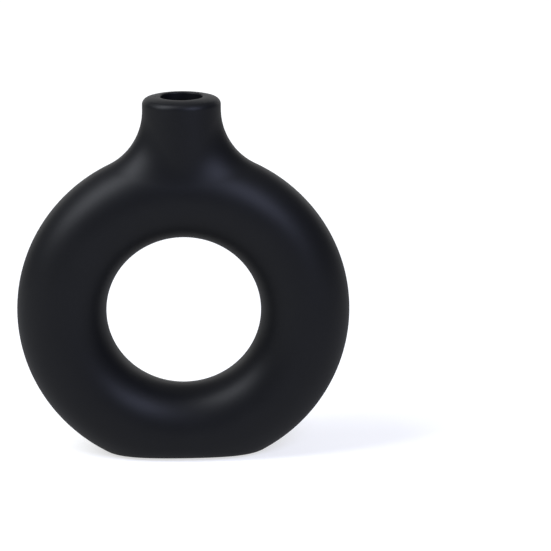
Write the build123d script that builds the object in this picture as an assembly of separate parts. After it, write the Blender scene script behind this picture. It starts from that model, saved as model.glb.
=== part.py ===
"""Donut vase: a hollow ring on a flat foot, with a flared neck and a small turned-in mouth.

The body is two moulded half shells, front and back, that meet on the plane y = 0.
A tongue round the joint face of the front shell enters a groove in the back shell,
and beads of adhesive at the bottom of the groove make the vase watertight.

Frame: +Z up, +X to the right, and the front looks towards -Y.
The origin is on the floor under the middle of the foot. All sizes are in millimetres.
"""

import math
import os

from build123d import *

# Driving dimensions of the outside
ring_outer_diameter = 182.0  # width of the vase
tube_diameter = 48.7  # thickness of the ring, which is also the depth of the vase
foot_cut = 10.4  # slice taken off the bottom of the ring to make the foot
neck_rise = 28.4  # top of the ring to the crest of the mouth
neck_setback = 3.25  # from the front of the ring back to the front of the neck
flare_radius = 34.0  # hollow curve between the ring and the neck
mouth_diameter = 22.6
rim_slope = 11.0  # degrees that the rim falls away from the mouth
rim_round = 3.2  # outer corner of the rim
mouth_round = 0.8  # inner corner of the rim
foot_round = 5.0  # corner between the foot and the ring

# Driving dimensions of the moulding
wall = 3.0
lip_thickness = 4.0  # the turned-in lip, at the mouth
cavity_corner = 1.0  # smallest corner inside the moulding
foot_land = 4.0  # width of the standing edge round the recess under the foot
foot_recess = 1.0

# Driving dimensions of the joint between the shells
tongue_thickness = 1.0
tongue_height = 2.0
joint_clearance = 0.1  # between each side of the tongue and the groove
bead_thickness = 0.5

# Worked out from the sizes above
ring_radius = (ring_outer_diameter - tube_diameter) / 2
tube_radius = tube_diameter / 2
ring_centre_height = ring_outer_diameter / 2 - foot_cut
neck_radius = tube_radius - neck_setback
mouth_radius = mouth_diameter / 2
overall_height = ring_outer_diameter - foot_cut + neck_rise
lip_underside = overall_height - lip_thickness
reach = overall_height + ring_outer_diameter  # longer than any part of the vase


def slab(axis, start, stop):
    """A block that holds everything from start to stop along the Y or Z axis."""
    centre = axis.direction * ((start + stop) / 2)
    sides = [stop - start if along else 2 * reach for along in axis.direction]
    return Pos(*centre) * Box(*sides)


def lowest_face(body):
    """The flat face that a body stands on."""
    return body.faces().filter_by(Plane.XY).sort_by(Axis.Z)[0]


def vase_form(inset):
    """The vase as a plain solid, drawn in from its outer skin by the inset.

    A ring and an endless neck are joined by a rolling fillet and cut flat by the floor.
    An inset floor is measured up from the recess under the foot.
    """
    ring = Pos(0, 0, ring_centre_height) * Rot(90, 0, 0) * Torus(ring_radius, tube_radius - inset)
    neck = Cylinder(neck_radius - inset, reach, align=(Align.CENTER, Align.CENTER, Align.MIN))
    body = ring + Pos(0, 0, ring_centre_height + ring_radius) * neck
    meeting_line = body.edges().filter_by(GeomType.BSPLINE)
    body = fillet(meeting_line, flare_radius + inset)

    floor = foot_recess + inset if inset else 0
    body = body & slab(Axis.Z, floor, 2 * reach)
    return fillet(lowest_face(body).edges(), max(foot_round - inset, cavity_corner))


def rim_waste():
    """What is cut away above the rim: all but a sloping lip with two round corners."""
    slope = math.tan(math.radians(rim_slope))
    crest_to_corner = mouth_round * (1 / math.cos(math.radians(rim_slope)) - 1 + slope)
    mouth_corner = overall_height + crest_to_corner
    rim_corner = mouth_corner - (neck_radius - mouth_radius) * slope
    rim_start = rim_corner - rim_round
    lip = make_face(
        Polyline(
            (mouth_radius, rim_start - rim_round),
            (mouth_radius, mouth_corner),
            (neck_radius, rim_corner),
            (neck_radius, rim_start - rim_round),
            close=True,
        )
    )
    corners = lip.vertices().sort_by(Axis.Y)
    lip = fillet(corners[-1:], mouth_round)
    outer_corner = lip.vertices().sort_by_distance((neck_radius, rim_corner))[:1]
    lip = fillet(outer_corner, rim_round)
    waste = Pos(0, rim_start) * Rectangle(reach, reach, align=(Align.MIN, Align.MIN)) - lip
    return revolve(Plane.XZ * waste, Axis.Z)


def cavity():
    """The space inside the vase, from the floor to the underside of the lip, and the mouth."""
    hollow = vase_form(wall) & slab(Axis.Z, 0, lip_underside)
    ceiling = hollow.faces().filter_by(Plane.XY).sort_by(Axis.Z)[-1]
    hollow = fillet(ceiling.edges(), max(rim_round - wall, cavity_corner))
    mouth = Cylinder(mouth_radius, 2 * lip_thickness)
    return hollow + Pos(0, 0, overall_height) * mouth


def foot_pocket(outer_form):
    """The shallow oval recess under the foot, which leaves a standing edge round it."""
    foot = lowest_face(outer_form).bounding_box().size
    outline = Ellipse(foot.X / 2 - foot_land, foot.Y / 2 - foot_land)
    return extrude(outline, foot_recess)


def joint_strip(margin, start, stop):
    """A strip down the middle of the wall round the whole joint, from start to stop along Y.

    It is the tongue's thickness and a margin on each side, and it ends under the lip.
    """
    half_strip = tongue_thickness / 2 + margin
    layer = vase_form(wall / 2 - half_strip) - vase_form(wall / 2 + half_strip)
    layer = layer & slab(Axis.Z, 0, lip_underside)
    return layer & slab(Axis.Y, start, stop)


def shells():
    """The front and back half shells, with the tongue on one and the groove in the other."""
    outer_form = vase_form(0)
    moulding = outer_form - rim_waste() - cavity() - foot_pocket(outer_form)
    front = moulding & slab(Axis.Y, -reach, 0)
    back = moulding & slab(Axis.Y, 0, reach)
    front = front + joint_strip(0, 0, tongue_height)
    back = back - joint_strip(joint_clearance, 0, tongue_height + bead_thickness)
    return front, back


def adhesive_beads():
    """The two beads at the bottom of the groove: round the outside, and round the hole."""
    beads = joint_strip(joint_clearance, tongue_height, tongue_height + bead_thickness).solids()
    round_hole, round_outside = sorted(beads, key=lambda bead: bead.volume)
    return round_outside, round_hole


def main():
    front, back = shells()
    outside_bead, hole_bead = adhesive_beads()
    pieces = {
        "front_shell": front,
        "back_shell": back,
        "outside_seam_bead": outside_bead,
        "hole_seam_bead": hole_bead,
    }
    os.makedirs("parts", exist_ok=True)
    for name, piece in pieces.items():
        export_step(piece, f"parts/{name}.step")
        print(name, "volume", round(piece.volume), "mm3, size", piece.bounding_box().size)


main()
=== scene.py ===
# %% [markdown]
# # A donut vase in black moulded plastic
#
# The vase is a hollow ring that stands on edge. A slice is cut off its bottom to make a foot, and a short
# neck grows out of its top through a wide hollow curve. It is two mouldings, a front and a back shell,
# glued together round a tongue and groove. This lesson dresses the CAD part: it draws each shell again as a
# fine, smooth surface, gives it the plastic, and lights it as a product photograph does.

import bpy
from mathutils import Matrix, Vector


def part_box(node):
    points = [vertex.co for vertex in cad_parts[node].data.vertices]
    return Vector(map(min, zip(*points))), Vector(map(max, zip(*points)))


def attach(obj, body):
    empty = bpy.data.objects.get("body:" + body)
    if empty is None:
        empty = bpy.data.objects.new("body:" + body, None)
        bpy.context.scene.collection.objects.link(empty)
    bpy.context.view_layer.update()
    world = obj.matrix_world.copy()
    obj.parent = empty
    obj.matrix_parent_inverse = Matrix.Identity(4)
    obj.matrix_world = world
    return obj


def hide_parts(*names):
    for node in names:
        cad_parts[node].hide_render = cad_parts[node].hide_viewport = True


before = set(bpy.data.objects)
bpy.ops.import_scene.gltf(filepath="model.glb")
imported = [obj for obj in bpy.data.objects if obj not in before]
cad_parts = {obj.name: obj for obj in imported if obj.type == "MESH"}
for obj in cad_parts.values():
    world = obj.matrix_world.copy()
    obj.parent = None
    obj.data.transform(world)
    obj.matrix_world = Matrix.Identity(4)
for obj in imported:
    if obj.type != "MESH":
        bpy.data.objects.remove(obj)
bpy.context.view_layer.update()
print("CAD nodes:", ", ".join(sorted(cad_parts)))

# %% [markdown]
# ## Sizes
#
# Blender works in metres. The large sizes are read from the CAD shell's box, so the surfaces can't drift
# away from it, and the small ones are the ones that a mould drawing would give, in millimetres. Two of them
# follow the photograph more closely than the CAD solid does: the top of the lip is a low dome, at most half
# a millimetre off the CAD's plain slope, and the corner of the foot is rounder. Everything below is worked
# out from these values.

# %% Sizes of the vase
import math

import bmesh
import bpy
import numpy as np
from mathutils import Quaternion, Vector

MM = 0.001

foot_cut = 10.4 * MM  # slice taken off the bottom of the ring
foot_round = 10.5 * MM
foot_land = 4.0 * MM  # width of the standing edge
foot_recess = 1.0 * MM
neck_setback = 3.25 * MM  # from the front of the ring back to the front of the neck
flare_radius = 34.0 * MM
mouth_radius = 11.3 * MM
mouth_round = 0.8 * MM
crest_radius = 12.0 * MM  # distance from the axis at which the dome of the lip is highest
rim_crown = 22.5 * MM  # radius of that dome
rim_round = 3.6 * MM
lip_thickness = 4.0 * MM
wall = 3.0 * MM
cavity_corner = 1.0 * MM

front_low, front_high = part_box("front_shell")
half_width = front_high.x
height = front_high.z
tube_radius = -front_low.y
ring_radius = half_width - tube_radius
centre_height = half_width - foot_cut
neck_radius = tube_radius - neck_setback
lip_underside = height - lip_thickness
print(f"vase {2 * half_width / MM:.1f} wide, {2 * tube_radius / MM:.1f} deep, {height / MM:.1f} mm tall")

# %% [markdown]
# ## The ring
#
# The ring is a torus: a round tube whose middle follows a circle. One angle, u, turns round the hole and
# the other, v, turns round the tube. A mesh primitive would give the same torus, but not the holes that the
# neck and the foot cut in it, so the surface is written as a function of the two angles, and each angle can
# start where it has to. Depth is counted from the joint plane, so one function serves the front shell and
# the back shell.


# %% The ring as a function of two angles
def ring_normal(u, v):
    """Straight out of the tube: v tips it out of the ring's own plane, and u turns it round the hole."""
    return np.stack([np.cos(v) * np.cos(u), np.sin(v), np.cos(v) * np.sin(u)], axis=-1)


def ring_skin(u, v, inset):
    """A point of the tube's middle circle plus the tube's radius, less the inset, along the normal."""
    u, v = np.broadcast_arrays(u, v)
    middle = np.stack([np.cos(u), np.zeros_like(u), np.sin(u)], axis=-1) * ring_radius
    normal = ring_normal(u, v)
    return middle + [0, 0, centre_height] + (tube_radius - inset) * normal, normal


print(f"ring: a tube {2 * tube_radius / MM:.1f} mm thick on a circle {2 * ring_radius / MM:.1f} mm across")

# %% [markdown]
# ## The flare
#
# The hollow curve between the ring and the neck is what a ball leaves when it rolls round the neck and
# always touches both. Its centre is as far from the neck as from the ring, which gives its height in closed
# form. At each turn the skin is the arc of the ball between its two points of contact. A bevel modifier
# would need a clean edge to work on; the rolling ball gives the exact curve, and it gives the ring's skin
# its upper border.


# %% The rolling ball of the flare
def arc_between(start, stop, share):
    """Unit directions that turn evenly from start to stop: sines of the shares of the angle weigh the two."""
    angle = np.arccos(np.clip((start * stop).sum(axis=-1, keepdims=True), -1, 1))
    return (np.sin((1 - share) * angle) * start + np.sin(share * angle) * stop) / np.sin(angle)


def round_neck(turn):
    """The level direction out of the neck, which turns from the right through the front to the left."""
    return np.stack([np.cos(turn), np.sin(turn), np.zeros_like(turn)], axis=-1)


def flare_ball(turn):
    """The ball's centre, and the angles u and v at which it touches the ring.

    Its distance from the neck's axis is the two radii added. Across the ring it lies as far out as Pythagoras
    gives from its depth, and its height follows from that distance and its place to the side.
    """
    ball = round_neck(turn) * (neck_radius + flare_radius)
    reach = tube_radius + flare_radius
    out = ring_radius + np.sqrt(reach**2 - ball[..., 1] ** 2)
    up = np.sqrt(out**2 - ball[..., 0] ** 2)
    ball[..., 2] = centre_height + up
    return ball, np.arctan2(up, ball[..., 0]), np.arcsin(ball[..., 1] / reach)


def flare_skin(turn, share, inset):
    """From the ball's centre back along directions between the neck's normal and the ring's normal."""
    ball, u, v = flare_ball(turn)
    normal = arc_between(round_neck(turn), ring_normal(u, v), share[:, None, None])
    return ball - (flare_radius + inset) * normal, normal


print(f"flare: a ball of {flare_radius / MM:.0f} mm radius round a neck of {neck_radius / MM:.1f} mm radius")

# %% [markdown]
# ## The foot
#
# The foot is cut flat, and its corner is rounded by a small ball that rolls inside the vase, along the
# floor and the tube. Inside the flat there is a shallow oval recess, as moulded vases have, so that the
# vase stands on an edge and doesn't rock.


# %% The rolling ball of the foot, the standing edge and the recess
def foot_ball(turn, inset, floor):
    """The ball's centre, its radius, and the angles u and v at which it touches the ring.

    Its centre lies one ball radius above the floor and inside the tube. The turn runs from the right end of
    the foot through the front to the left end, and u swings with its cosine.
    """
    ball_radius = max(foot_round - inset, cavity_corner)
    inner_tube = tube_radius - inset - ball_radius
    drop = centre_height - floor - ball_radius
    u = 1.5 * math.pi + math.acos(drop / (ring_radius + inner_tube)) * np.cos(turn)
    v = np.arccos(np.clip((-drop / np.sin(u) - ring_radius) / inner_tube, -1, 1))
    out = ring_radius + inner_tube * np.cos(v)
    ball = np.stack([out * np.cos(u), inner_tube * np.sin(v), centre_height + out * np.sin(u)], axis=-1)
    return ball, ball_radius, u, v


def foot_skin(turn, share, inset, floor):
    """From the ball's centre along directions between the ring's normal and straight down."""
    ball, ball_radius, u, v = foot_ball(turn, inset, floor)
    down = np.broadcast_to([0.0, 0.0, -1.0], ball.shape)
    normal = arc_between(ring_normal(u, v), down, share[:, None, None])
    return ball + ball_radius * normal, normal


def flat_rows(edge, corners):
    """Rows that run from the foot's edge, through scaled copies of it, to the joint plane.

    Each corner is a distance in from the edge and a height. The copies are ovals, drawn in by that distance.
    """
    half_length = edge[:, 0].max()
    half_depth = edge[:, 1].max()
    swing = np.arctan2(edge[:, 1] / half_depth, edge[:, 0] / half_length)
    rows = [edge]
    for inward, level in corners:
        oval = [np.cos(swing) * (half_length - inward), np.sin(swing) * (half_depth - inward)]
        rows.append(np.stack([*oval, np.full_like(swing, level)], axis=-1))
    rows.append(rows[-1] * [1, 0, 1])
    return np.stack(rows)


print(f"foot: corner of {foot_round / MM:.1f} mm, standing edge {foot_land / MM:.0f} mm wide")

# %% [markdown]
# ## The neck and the lip
#
# From the flare up, the vase is a turned shape: one profile revolved round the neck's axis. The profile
# climbs the outside of the neck, rounds the rim, runs over a crowned top to the mouth, and comes back down
# inside, under the lip. All its arcs are tangent to each other, so the highlight runs over the rim without
# a kink.


# %% The lip's profile
rim_points = 16
crown_points = 12
mouth_points = 12
corner_points = 6


def arc(centre, radius, start, stop, count):
    """Points on a circle from one angle to another, and the directions out of its centre."""
    angle = np.radians(np.linspace(start, stop, count))
    direction = np.stack([np.cos(angle), np.sin(angle)], axis=-1)
    return np.array(centre) + radius * direction, direction


def lip_profile():
    """Radius and height along the lip, with outward directions, from the outer wall to the inner wall.

    The crown peaks at the full height, a little outside the mouth. A round corner touches it from inside, so
    their centres are as far apart as the two radii differ, and Pythagoras gives the height.
    """
    crown_up = height - rim_crown
    mouth_out = mouth_radius + mouth_round
    mouth_rise = math.sqrt((rim_crown - mouth_round) ** 2 - (mouth_out - crest_radius) ** 2)
    rim_out = neck_radius - rim_round
    rim_rise = math.sqrt((rim_crown - rim_round) ** 2 - (rim_out - crest_radius) ** 2)
    rim_angle = math.degrees(math.atan2(rim_rise, rim_out - crest_radius))
    mouth_angle = math.degrees(math.atan2(mouth_rise, mouth_out - crest_radius))
    corner_centre = (neck_radius - wall - cavity_corner, lip_underside - cavity_corner)
    rim, rim_way = arc((rim_out, crown_up + rim_rise), rim_round, 0, rim_angle, rim_points)
    crown, crown_way = arc((crest_radius, crown_up), rim_crown, rim_angle, mouth_angle, crown_points)
    mouth, mouth_way = arc((mouth_out, crown_up + mouth_rise), mouth_round, mouth_angle, 180, mouth_points)
    corner, corner_way = arc(corner_centre, cavity_corner, 90, 0, corner_points)
    under = np.array([[mouth_radius, lip_underside]])
    under_way = np.array([[-1.0, 0.0]])
    points = np.concatenate([rim, crown[1:-1], mouth, under, corner])
    ways = np.concatenate([rim_way, crown_way[1:-1], mouth_way, under_way, -corner_way])
    return points, ways


def neck_skin(turn, wall_share):
    """The outer wall, the lip and the inner wall, revolved: walls rise from the flare's border to the lip."""
    profile, ways = lip_profile()
    strip_top = lip_underside - cavity_corner
    border = flare_ball(turn)[0][..., 2]
    climb = border + wall_share[:, None] * (strip_top - border)
    over_lip = np.broadcast_to(profile[:, 1:], (len(profile), len(turn)))
    heights = np.concatenate([climb, over_lip, climb[-2::-1]])
    outside = np.ones(len(wall_share))
    inside = outside[1:]
    radii = np.concatenate([outside * neck_radius, profile[:, 0], inside * (neck_radius - wall)])
    level = np.concatenate([outside, ways[:, 0], -inside])
    rise = np.concatenate([0 * outside, ways[:, 1], 0 * inside])
    outward = round_neck(turn)
    up = np.array([0, 0, 1])
    points = radii[:, None, None] * outward + heights[..., None] * up
    normals = level[:, None, None] * outward + rise[:, None, None] * up
    return points, np.broadcast_to(normals, points.shape)


print("points along the lip's profile:", len(lip_profile()[0]))

# %% [markdown]
# ## One half of the skin
#
# Now the pieces are laid side by side. The ring's skin starts at the joint plane on both sides of the vase,
# but at the flare's border on top and at the foot's border below, and it always ends at the joint round the
# hole. Neighbours use the same turns, so their borders fall on the same points and can be merged into one
# surface. Close to the joint the skin dips by less than a tenth of a millimetre: two moulded edges are
# never quite sharp, and the dip leaves the fine parting line that such a vase has.

# %% Grid lines and the patches of a skin
seam_dip = 0.07 * MM
seam_steps = np.array([0, 0.35, 0.7, 1.0, 1.7])  # fine lines, counted in dips from the joint plane
seam_angles = seam_steps * seam_dip / tube_radius
past_seam = len(seam_angles) - 1
neck_columns = 72
side_columns = 90
foot_columns = 57
tube_rows = 64
flare_rows = 29
foot_rows = 9
wall_rows = 9


def eased(fine_angles, count):
    """Angles over half a turn: even in the middle, with a few fine ones at both ends for the seam."""
    middle = np.linspace(0, math.pi, count)[1:-1]
    return np.concatenate([fine_angles, middle, math.pi - fine_angles[::-1]])


# The seam's fine lines come down the flare at the turns whose ball touches the ring at the seam's angles.
ball_reach = (tube_radius + flare_radius) / (neck_radius + flare_radius)
neck_turns = eased(np.arcsin(np.sin(seam_angles) * ball_reach), neck_columns)
tube_angles = eased(seam_angles, tube_rows)
foot_turns = np.linspace(0, math.pi, foot_columns)
flare_shares = np.linspace(0, 1, flare_rows)
foot_shares = np.linspace(0, 1, foot_rows)
wall_shares = np.linspace(0, 1, wall_rows)


def ring_columns(inset, floor):
    """Angles u and v at which the columns of the ring's skin start, all the way round in four parts.

    On the right and left they start at the joint. Under the flare they start past the seam's fine lines,
    which run on into the sides, and over the foot they start at its border.
    """
    _, top_u, top_v = flare_ball(neck_turns)
    _, _, foot_u, foot_v = foot_ball(foot_turns, inset, floor)
    right = np.linspace(foot_u[0] - 2 * math.pi, top_u[0], side_columns)
    left = np.linspace(top_u[-1], foot_u[-1], side_columns)
    under_flare = slice(past_seam, -past_seam)
    return {
        "right": (right, 0 * right),
        "top": (top_u[under_flare], top_v[under_flare]),
        "left": (left, 0 * left),
        "bottom": (foot_u[::-1], foot_v[::-1]),
    }


def dipped(points, normals, dip=seam_dip):
    """The skin moved in by the dip at the joint plane, and less away from it, as a square that runs out."""
    left = np.clip(1 - points[..., 1:2] / seam_dip, 0, 1)
    return points - dip * left**2 * normals


def half_skin(inset, dip, floor_levels):
    """The ring's four parts, the flare, the foot's corner and the flat foot, each a grid at an inset.

    Every column of the ring runs from the v that it starts at to the joint round the hole.
    """
    skin = {}
    for part, (u, v) in ring_columns(inset, floor_levels[0]).items():
        angles = tube_angles[past_seam if part == "top" else 0 :]
        share = (angles - angles[0]) / (math.pi - angles[0])
        skin[part] = ring_skin(u, v + share[:, None] * (math.pi - v), inset)
    skin["flare"] = flare_skin(neck_turns, flare_shares, inset)
    skin["foot"] = foot_skin(foot_turns, foot_shares, inset, floor_levels[0])
    skin = {name: dipped(points, normals, dip) for name, (points, normals) in skin.items()}
    skin["flat"] = flat_rows(skin["foot"][-1], [(foot_land, level) for level in floor_levels])
    return skin


inside_floor = foot_recess + wall
outer = half_skin(0, seam_dip, [0, foot_recess])
inner = half_skin(wall, -seam_dip, [inside_floor, inside_floor])
neck = dipped(*neck_skin(neck_turns, wall_shares))
print("grid of each outer patch:", {name: patch.shape[:2] for name, patch in outer.items()})

# %% [markdown]
# ## The joint
#
# On the joint plane each shell shows its wall edge on, with the tongue or the groove down its middle. That
# edge is a stepped profile carried along two paths: one runs round the outside from lip to lip, and one
# round the hole. Each step of the profile is the outline of the skin at some inset, set at some depth, so
# the functions above give every step. Depth below zero stands out of the joint, as the tongue does.

# %% The stepped joint face
tongue_inset = 1.0 * MM
tongue_thickness = 1.0 * MM
tongue_height = 2.0 * MM
joint_clearance = 0.1 * MM
bead_thickness = 0.5 * MM


def outside_line(skin, inset):
    """The outline on the joint plane: down the right side to the foot's middle, and its mirror image up."""
    heights = neck[: len(wall_shares), 0, 2][::-1]
    on_neck = np.stack([np.full_like(heights, neck_radius - inset), 0 * heights, heights], axis=-1)
    on_ring = skin["right"][0, -2:0:-1]
    on_recess = skin["flat"][1:-1, 0]
    on_floor = skin["flat"][-1, : len(foot_turns) // 2 + 1]
    right = np.concatenate([on_neck, skin["flare"][:, 0], on_ring, skin["foot"][:, 0], on_recess, on_floor])
    return np.concatenate([right, right[-2::-1] * [-1, 1, 1]])


def hole_line(skin):
    """The closed line round the hole on the joint plane: the ends of all columns, the first one twice."""
    parts = [skin[part][-1, 1:] for part in ("right", "top", "left", "bottom")]
    return np.concatenate([skin["right"][-1, :1], *parts])


def joint_strips(near, far, depth):
    """Two strips, round the outside and round the hole: wall edge, step at near, step at far, wall edge."""
    lines = []
    for inset, level in [(near, 0), (near, depth), (far, depth), (far, 0)]:
        floor = foot_recess + inset
        skin = half_skin(inset, 0, [floor, floor])
        lines.append((outside_line(skin, inset) + [0, level, 0], hole_line(skin) + [0, level, 0]))
    lines.insert(0, (outside_line(outer, seam_dip), hole_line(outer)))
    lines.append((outside_line(inner, wall - seam_dip), hole_line(inner)))
    outside, round_hole = zip(*lines)
    return np.stack(outside), np.stack(round_hole)


def lip_faces(strip):
    """At both ends of the joint, the cut face of the lip, and the end of the tongue or groove under it."""
    rows = slice(len(wall_shares) - 1, len(neck) - len(wall_shares) + 1)
    faces = []
    for column, end in [(0, 0), (-1, -1)]:
        steps = strip[1:-1, end]
        faces += [np.concatenate([neck[rows, column], steps[-1:], steps[:1]]), steps]
    return faces


tongue = joint_strips(tongue_inset, tongue_inset + tongue_thickness, -tongue_height)
groove_near = tongue_inset - joint_clearance
groove_far = tongue_inset + tongue_thickness + joint_clearance
groove = joint_strips(groove_near, groove_far, tongue_height + bead_thickness)
print("points round the joint:", tongue[0].shape[1], "outside and", tongue[1].shape[1], "round the hole")

# %% [markdown]
# ## The two mouldings
#
# A shell is the outer skin, the inner skin, the neck and its joint face, stitched into one closed skin. The
# grids are flattened into one list of points, the points that neighbours share are merged, and the faces
# are then turned to point out of the plastic. Edges sharper than the limit stay crisp, and all others are
# shaded round.

# %% Stitch a shell and put it in the place of its CAD solid
merge_distance = 0.002 * MM
crisp_angle = math.radians(40)


def grid_quads(rows, columns, start):
    """Corner numbers of every cell of a grid whose points are counted row by row from a start."""
    first = start + np.arange(rows - 1)[:, None] * columns + np.arange(columns - 1)
    corners = np.stack([first, first + 1, first + columns + 1, first + columns], axis=-1)
    return corners.reshape(-1, 4).tolist()


def shell(name, side, strips):
    """One closed moulding: depth becomes distance from the joint plane, to the front (-1) or back (+1)."""
    patches = [*outer.values(), *inner.values(), neck, *strips]
    points, faces, count = [], [], 0
    for patch in patches:
        faces += grid_quads(*patch.shape[:2], count)
        points.append(patch.reshape(-1, 3))
        count += len(points[-1])
    for outline in lip_faces(strips[0]):
        faces.append(list(range(count, count + len(outline))))
        points.append(outline)
        count += len(outline)
    vertices = np.concatenate(points) * [1, side, 1]

    mesh = bpy.data.meshes.new(name)
    mesh.from_pydata(vertices.tolist(), [], faces)
    body = bmesh.new()
    body.from_mesh(mesh)
    bmesh.ops.remove_doubles(body, verts=body.verts, dist=merge_distance)
    bmesh.ops.recalc_face_normals(body, faces=body.faces)
    open_edges = sum(not edge.is_manifold for edge in body.edges)
    body.to_mesh(mesh)
    print(f"{name}: {len(body.faces)} faces, {open_edges} open edges, {body.calc_volume() / MM**3:.0f} mm3")
    body.free()

    mesh.shade_smooth()
    mesh.set_sharp_from_angle(angle=crisp_angle)
    made = bpy.data.objects.new(name, mesh)
    bpy.context.scene.collection.objects.link(made)
    return made


front = shell("front_shell_moulding", -1, tongue)
back = shell("back_shell_moulding", 1, groove)
for moulding, node in [(front, "front_shell"), (back, "back_shell")]:
    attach(moulding, "root")
    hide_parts(node)

# %% [markdown]
# ## Helpers for the materials
#
# Colours are written as the hex values that a colour picker shows, and one function turns them into the
# linear light that the shader works in. Another adds a node to a tree, sets its properties and fills its
# inputs with numbers or with the outputs of other nodes. A third turns one level into another, smoothly or
# in a straight line.


# %% Colour and node helpers
def linear(hex_colour):
    """sRGB to linear light: a straight toe for dark values, and above it a power of 2.4."""
    srgb = np.array([int(hex_colour[place : place + 2], 16) for place in (1, 3, 5)]) / 255
    light = np.where(srgb <= 0.04045, srgb / 12.92, ((srgb + 0.055) / 1.055) ** 2.4)
    return (*light.tolist(), 1.0)


def add_node(tree, kind, inputs=None, **settings):
    """A new node with its settings; each input gets a value, or a link if it is another node's output."""
    made = tree.nodes.new(kind)
    for name, value in settings.items():
        setattr(made, name, value)
    for name, value in (inputs or {}).items():
        if isinstance(value, bpy.types.NodeSocket):
            tree.links.new(value, made.inputs[name])
        else:
            made.inputs[name].default_value = value
    return made


def ramp(tree, value, start, stop, low, high, interpolation="SMOOTHSTEP"):
    """A level that goes from low to high while a value goes from start to stop."""
    inputs = {"Value": value, "From Min": start, "From Max": stop, "To Min": low, "To Max": high}
    return add_node(tree, "ShaderNodeMapRange", inputs, interpolation_type=interpolation).outputs["Result"]


def new_material(name):
    """A material with an empty node tree."""
    made = bpy.data.materials.new(name)
    made.use_nodes = True
    made.node_tree.nodes.clear()
    return made


print("black on the page", "#101012", "is", [round(c, 4) for c in linear("#101012")[:3]], "in light")

# %% [markdown]
# ## The black plastic
#
# The vase is moulded in a black polypropylene, from a mould whose faces were blasted to a fine, even matt.
# The pigment makes it black all through, so nearly all that the eye gets is the soft sheen of the blasted
# skin: broad, dim highlights with no edge, and a pale lift towards the outline where the skin is seen at a
# low angle. The shader's own gloss would make that lift far too pale, so it is switched off. A weak satin
# coat takes its place, because the weight of a coat scales the sheen at all angles. Two patterns break up
# the evenness. The grain is the print of the blasted mould, and the slow cloud is the way plastic shrinks a
# little unevenly as it cools, which shifts the sheen and the depth of the black by a trace.

# %% Black polypropylene, moulded satin
grain_size = 0.9 * MM  # the real print is near 0.1 mm; it is drawn coarser so that it shows at all
grain_height = 0.004 * MM
grain_strength = 0.35
cloud_size = 38.0 * MM
cloud_span = (0.3, 0.7)  # the noise stays mostly between these values
satin_span = (0.46, 0.52)  # roughness under the coat
coat_weight = 0.29
coat_roughness = 0.46
plastic_ior = 1.49
PLASTIC_DARK = "#050609"
PLASTIC_LIGHT = "#090a0d"


def moulded_plastic():
    """Near-black satin: a cloud shifts colour and roughness, and a grain tips the skin."""
    made = new_material("black_polypropylene_moulded_satin")
    tree = made.node_tree
    place = add_node(tree, "ShaderNodeTexCoord").outputs["Object"]
    cloud_inputs = {"Vector": place, "Scale": 1 / cloud_size, "Detail": 3.0, "Roughness": 0.55}
    cloud = add_node(tree, "ShaderNodeTexNoise", cloud_inputs).outputs["Fac"]
    grain_inputs = {"Vector": place, "Scale": 1 / grain_size, "Detail": 2.0, "Roughness": 0.6}
    grain = add_node(tree, "ShaderNodeTexNoise", grain_inputs).outputs["Fac"]
    black = add_node(tree, "ShaderNodeValToRGB", {"Fac": cloud})
    for stop, level, colour in zip(black.color_ramp.elements, cloud_span, (PLASTIC_DARK, PLASTIC_LIGHT)):
        stop.position = level
        stop.color = linear(colour)
    satin = ramp(tree, cloud, *cloud_span, *satin_span, "LINEAR")
    bump_inputs = {"Height": grain, "Strength": grain_strength, "Distance": grain_height}
    bump = add_node(tree, "ShaderNodeBump", bump_inputs).outputs["Normal"]
    plastic_inputs = {
        "Base Color": black.outputs["Color"],
        "Roughness": satin,
        "Normal": bump,
        "IOR": plastic_ior,
        "Specular IOR Level": 0.0,
        "Coat Weight": coat_weight,
        "Coat Roughness": coat_roughness,
        "Coat IOR": plastic_ior,
        "Coat Normal": bump,
    }
    plastic = add_node(tree, "ShaderNodeBsdfPrincipled", plastic_inputs).outputs["BSDF"]
    add_node(tree, "ShaderNodeOutputMaterial", {"Surface": plastic})
    return made


plastic = moulded_plastic()
for moulding in (front, back):
    moulding.data.materials.append(plastic)
print("mouldings in", plastic.name)

# %% [markdown]
# ## The adhesive
#
# The two beads at the bottom of the groove stay as CAD made them: their shape is right, and they can be
# seen only if the shells are pulled apart. They get the look of a cured black adhesive: smoother than the
# moulding, with small bubbles that pale its tone.

# %% Cured adhesive on the CAD beads
bubble_size = 1.6 * MM
bubble_height = 0.05 * MM
bubble_gloss = (0.34, 0.2)  # roughness in the middle of a bubble, and between bubbles
adhesive_ior = 1.5
ADHESIVE_DEEP = "#1b1b1d"
ADHESIVE_PALE = "#333336"


def cured_adhesive():
    """Black and smooth: cells of a Voronoi pattern stand for bubbles that pale, dull and lift the skin."""
    made = new_material("black_adhesive_cured")
    tree = made.node_tree
    place = add_node(tree, "ShaderNodeTexCoord").outputs["Object"]
    bubbles = add_node(tree, "ShaderNodeTexVoronoi", {"Vector": place, "Scale": 1 / bubble_size})
    away = bubbles.outputs["Distance"]
    tone = add_node(tree, "ShaderNodeValToRGB", {"Fac": away})
    tone.color_ramp.elements[0].color = linear(ADHESIVE_PALE)
    tone.color_ramp.elements[1].color = linear(ADHESIVE_DEEP)
    gloss = ramp(tree, away, 0.0, 1.0, *bubble_gloss, "LINEAR")
    lift = add_node(tree, "ShaderNodeBump", {"Height": away, "Distance": bubble_height}, invert=True)
    inputs = {
        "Base Color": tone.outputs["Color"],
        "Roughness": gloss,
        "Normal": lift.outputs["Normal"],
        "IOR": adhesive_ior,
    }
    adhesive = add_node(tree, "ShaderNodeBsdfPrincipled", inputs).outputs["BSDF"]
    add_node(tree, "ShaderNodeOutputMaterial", {"Surface": adhesive})
    return made


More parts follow.
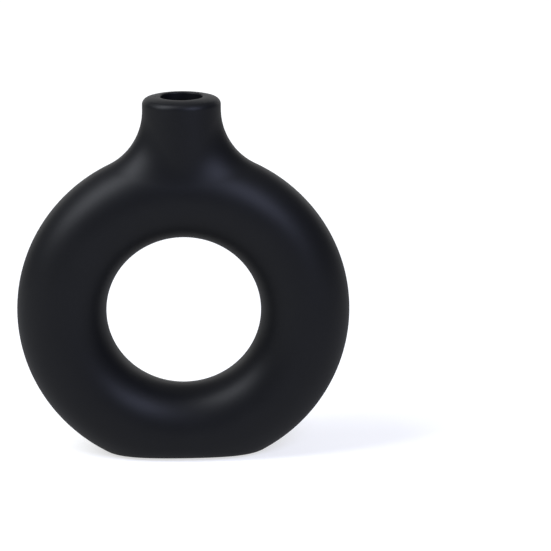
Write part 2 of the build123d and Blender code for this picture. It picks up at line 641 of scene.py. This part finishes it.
adhesive = cured_adhesive()
for node in ("outside_seam_bead", "hole_seam_bead"):
    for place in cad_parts[node].material_slots:
        place.material = adhesive
print("beads in", adhesive.name)

# %% [markdown]
# ## Floor and studio
#
# The photograph is a catalogue cut-out on white. A pale floor takes the vase's soft shadow, and a glow that
# only the camera, mirrors and glass can see lifts it to the white of the page, a little more where the
# lamps don't reach. A black vase shows mainly what stands round it, so the world is a studio too. A bright
# backdrop behind the vase draws the pale lines along its outline and round the hole, and dim walls keep its
# body deep between the highlights of the lamps.

# %% White floor
floor_radius = 6.0
floor_segments = 96
FLOOR_WHITE = "#b8b8b8"
near_glow = 0.62  # near the vase, where the lamps light the floor and its shadow falls
far_glow = 0.82  # far behind it, out of the lamps' reach
glow_from = 0.15  # distances from the vase between which the glow rises
glow_to = 1.1


def seen_directly(tree):
    """One for rays from the camera, from a mirror or through glass, and zero for those that gather light."""
    path = add_node(tree, "ShaderNodeLightPath").outputs
    straight = {0: path["Is Camera Ray"], 1: path["Is Glossy Ray"]}
    seen = add_node(tree, "ShaderNodeMath", straight, operation="MAXIMUM").outputs[0]
    through = {0: seen, 1: path["Is Transmission Ray"]}
    return add_node(tree, "ShaderNodeMath", through, operation="MAXIMUM").outputs[0]


def white_floor():
    """Matt and pale, with a glow where it is seen that rises away from the vase to the white of the page."""
    made = new_material("white_paper_floor")
    tree = made.node_tree
    paper = add_node(tree, "ShaderNodeBsdfDiffuse", {"Color": linear(FLOOR_WHITE)}).outputs[0]
    place = add_node(tree, "ShaderNodeTexCoord").outputs["Object"]
    away = add_node(tree, "ShaderNodeVectorMath", {0: place}, operation="LENGTH").outputs["Value"]
    page = ramp(tree, away, glow_from, glow_to, near_glow, far_glow)
    glow = add_node(tree, "ShaderNodeMath", {0: seen_directly(tree), 1: page}, operation="MULTIPLY")
    light = add_node(tree, "ShaderNodeEmission", {"Strength": glow.outputs[0]}).outputs[0]
    both = add_node(tree, "ShaderNodeAddShader", {0: paper, 1: light}).outputs[0]
    add_node(tree, "ShaderNodeOutputMaterial", {"Surface": both})
    return made


def floor_disc():
    """A flat disc on the ground, a fan of triangles round the middle of the foot."""
    body = bmesh.new()
    bmesh.ops.create_circle(body, cap_ends=True, cap_tris=True, segments=floor_segments, radius=floor_radius)
    mesh = bpy.data.meshes.new("studio_floor")
    body.to_mesh(mesh)
    body.free()
    mesh.materials.append(white_floor())
    made = bpy.data.objects.new("studio_floor", mesh)
    bpy.context.scene.collection.objects.link(made)
    return made


floor = floor_disc()
print("floor", 2 * floor_radius, "m across")

# %% Bright backdrop in a dim room
backdrop_light = 2.6
backdrop_top = math.sin(math.radians(25))
backdrop_edge = math.cos(math.radians(45))
fade_width = 0.16
backdrop_edges = (backdrop_edge - fade_width, backdrop_edge + fade_width)
backdrop_tops = (backdrop_top - fade_width / 2, backdrop_top + fade_width / 2)
room_light = 0.32
front_light = 0.36
front_fade = (-0.8, -0.2)  # from the wall behind the camera round to the side walls
ceiling_light = 0.8
ceiling_fade = (0.6, 0.9)  # from the walls up to the ceiling
ambient_light = 0.3
STUDIO_WHITE = "#ffffff"


def studio_world():
    """A dim room, paler overhead, a bright backdrop behind the vase, and an even light for matt surfaces.

    Each direction is a point on a ball: its Y tells back from front, and its Z is the sine of its height.
    """
    world = bpy.data.worlds.new("studio")
    bpy.context.scene.world = world
    world.use_nodes = True
    tree = world.node_tree
    tree.nodes.clear()
    way = add_node(tree, "ShaderNodeTexCoord").outputs["Generated"]
    apart = add_node(tree, "ShaderNodeSeparateXYZ", {0: way}).outputs
    walls = ramp(tree, apart["Y"], *front_fade, front_light, room_light)
    overhead = {"Factor": ramp(tree, apart["Z"], *ceiling_fade, 0.0, 1.0), "A": walls, "B": ceiling_light}
    room = add_node(tree, "ShaderNodeMix", overhead, data_type="FLOAT").outputs["Result"]
    behind = ramp(tree, apart["Y"], *backdrop_edges, 0.0, 1.0)
    below = ramp(tree, apart["Z"], *backdrop_tops, 1.0, 0.0)
    cloth = add_node(tree, "ShaderNodeMath", {0: behind, 1: below}, operation="MULTIPLY").outputs[0]
    around = {"Factor": cloth, "A": room, "B": backdrop_light}
    studio = add_node(tree, "ShaderNodeMix", around, data_type="FLOAT").outputs["Result"]
    share = {"Factor": seen_directly(tree), "A": ambient_light, "B": studio}
    strength = add_node(tree, "ShaderNodeMix", share, data_type="FLOAT").outputs["Result"]
    white = {"Color": linear(STUDIO_WHITE), "Strength": strength}
    sky = add_node(tree, "ShaderNodeBackground", white).outputs[0]
    add_node(tree, "ShaderNodeOutputWorld", {"Surface": sky})


studio_world()
print("world: a bright backdrop behind the vase, in a dim room")

# %% [markdown]
# ## Lamps
#
# Two upright soft boxes hang over the vase, to the left and to the right. They are taller than wide, so
# that their highlights run on along the shoulders of the ring. The left one is stronger and nearly neutral,
# and the right one is dimmer and cool, which is what the two shoulders show.

# %% Soft boxes
aim = Vector((0, 0, 0.12))


def soft_box(name, place, size, power, hex_colour):
    """An upright lamp that looks at the middle of the vase."""
    lamp = bpy.data.lights.new(name, "AREA")
    lamp.shape = "RECTANGLE"
    lamp.size, lamp.size_y = size
    lamp.energy = power
    lamp.color = linear(hex_colour)[:3]
    made = bpy.data.objects.new(name, lamp)
    made.location = place
    made.rotation_mode = "QUATERNION"
    made.rotation_quaternion = (aim - Vector(place)).to_track_quat("-Z", "Y")
    made.visible_camera = False
    bpy.context.scene.collection.objects.link(made)


soft_box("left_soft_box", (-0.69, -0.26, 0.94), (0.50, 0.94), 17.4, "#f3f7ff")
soft_box("right_soft_box", (0.53, -0.72, 0.76), (0.40, 0.70), 10.4, "#d2d9ff")

# %% [markdown]
# ## Camera
#
# The photograph looks down on the vase from a little above, from far enough to keep the ring round. The
# distance, height and lens below come from fitting the vase's outline to the photograph. The vase stands
# left of the middle of the frame, so the camera is turned until the middle of its ring falls on the pixel
# where the photograph has it.

# %% Camera at the photograph's place
frame_pixels = 551
ring_pixel = (183.88, 310.46)
focal_pixels = 2139.5
camera_distance = 1.175
camera_elevation = math.radians(16.62)
camera_roll = math.radians(0.71)

ring_middle = Vector((0, 0, centre_height))
back_to_camera = Vector((0, -math.cos(camera_elevation), math.sin(camera_elevation)))
centre_pixel = frame_pixels / 2
ring_way = Vector((ring_pixel[0] - centre_pixel, centre_pixel - ring_pixel[1], -focal_pixels))
looking = (-back_to_camera).to_track_quat("-Z", "Y") @ Quaternion((0, 0, 1), -camera_roll)

lens = bpy.data.cameras.new("photo_camera")
lens.sensor_width = 36.0
lens.lens = focal_pixels / frame_pixels * lens.sensor_width
lens.clip_start = 0.05
camera = bpy.data.objects.new("photo_camera", lens)
camera.location = ring_middle + back_to_camera * camera_distance
camera.rotation_mode = "QUATERNION"
camera.rotation_quaternion = looking @ Vector((0, 0, -1)).rotation_difference(ring_way).inverted()
bpy.context.scene.collection.objects.link(camera)
bpy.context.scene.camera = camera
bpy.context.scene.view_settings.view_transform = "Standard"
print(f"lens {lens.lens:.1f} mm at {camera_distance:.2f} m")
